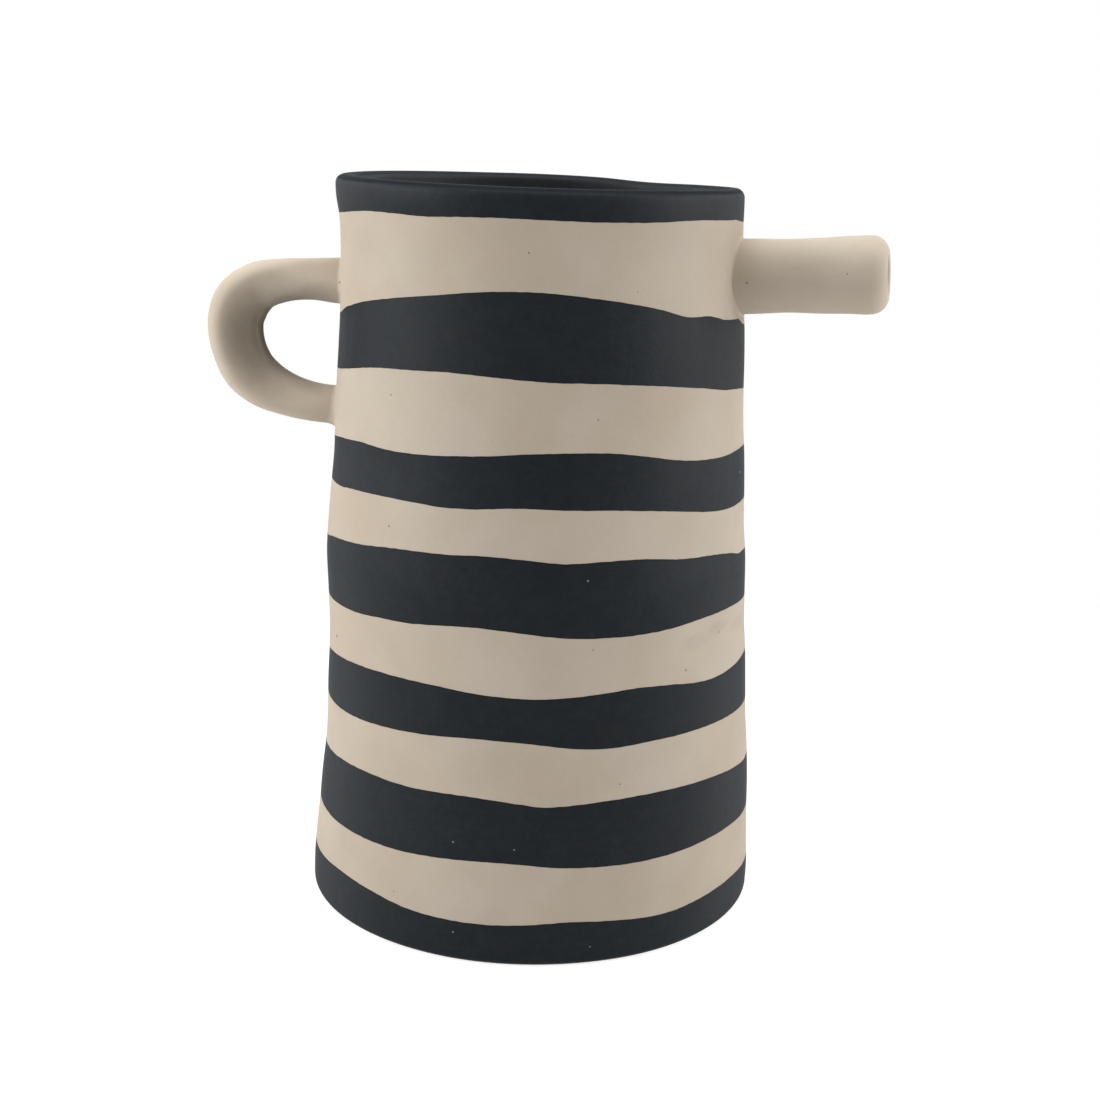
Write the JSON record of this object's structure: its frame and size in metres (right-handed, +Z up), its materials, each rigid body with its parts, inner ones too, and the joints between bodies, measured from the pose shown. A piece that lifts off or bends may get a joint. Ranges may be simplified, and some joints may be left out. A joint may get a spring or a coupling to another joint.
{
  "type": "ceramic jug",
  "caption": "Tall hand-built stoneware jug with an open mouth, a coil loop handle on one side, a straight tubular spout opposite it near the rim, and wavy bands of dark slip.",
  "frame": {"origin": "centre of the foot, on the surface that the jug stands on", "axes": "+Z up along the body, -X towards the handle, -Y towards the side that the picture shows. The spout points 15 degrees from +X towards -Y"},
  "size_m": [0.1956, 0.1358, 0.2138],
  "materials": {
    "cream_clay": "matt, unglazed, fine grained",
    "dark_slip": "matt, unglazed, blue-black slip",
    "clear_glaze": "clear satin glaze over the cream clay"
  },
  "bodies": {
    "root": {"floor_slab": "cream_clay", "wall_slab": "cream_clay", "floor_seam_coil": "cream_clay", "loop_handle": "cream_clay", "handle_top_collar": "cream_clay", "handle_foot_collar": "cream_clay", "spout_tube": "cream_clay", "spout_collar": "cream_clay", "rim_band": "dark_slip", "dark_band_2": "dark_slip", "dark_band_3": "dark_slip", "dark_band_4": "dark_slip", "dark_band_5": "dark_slip", "dark_band_6": "dark_slip", "foot_band": "dark_slip", "glaze_lining": "clear_glaze", "spout_glaze_sleeve": "clear_glaze"}
  },
  "joints": []
}
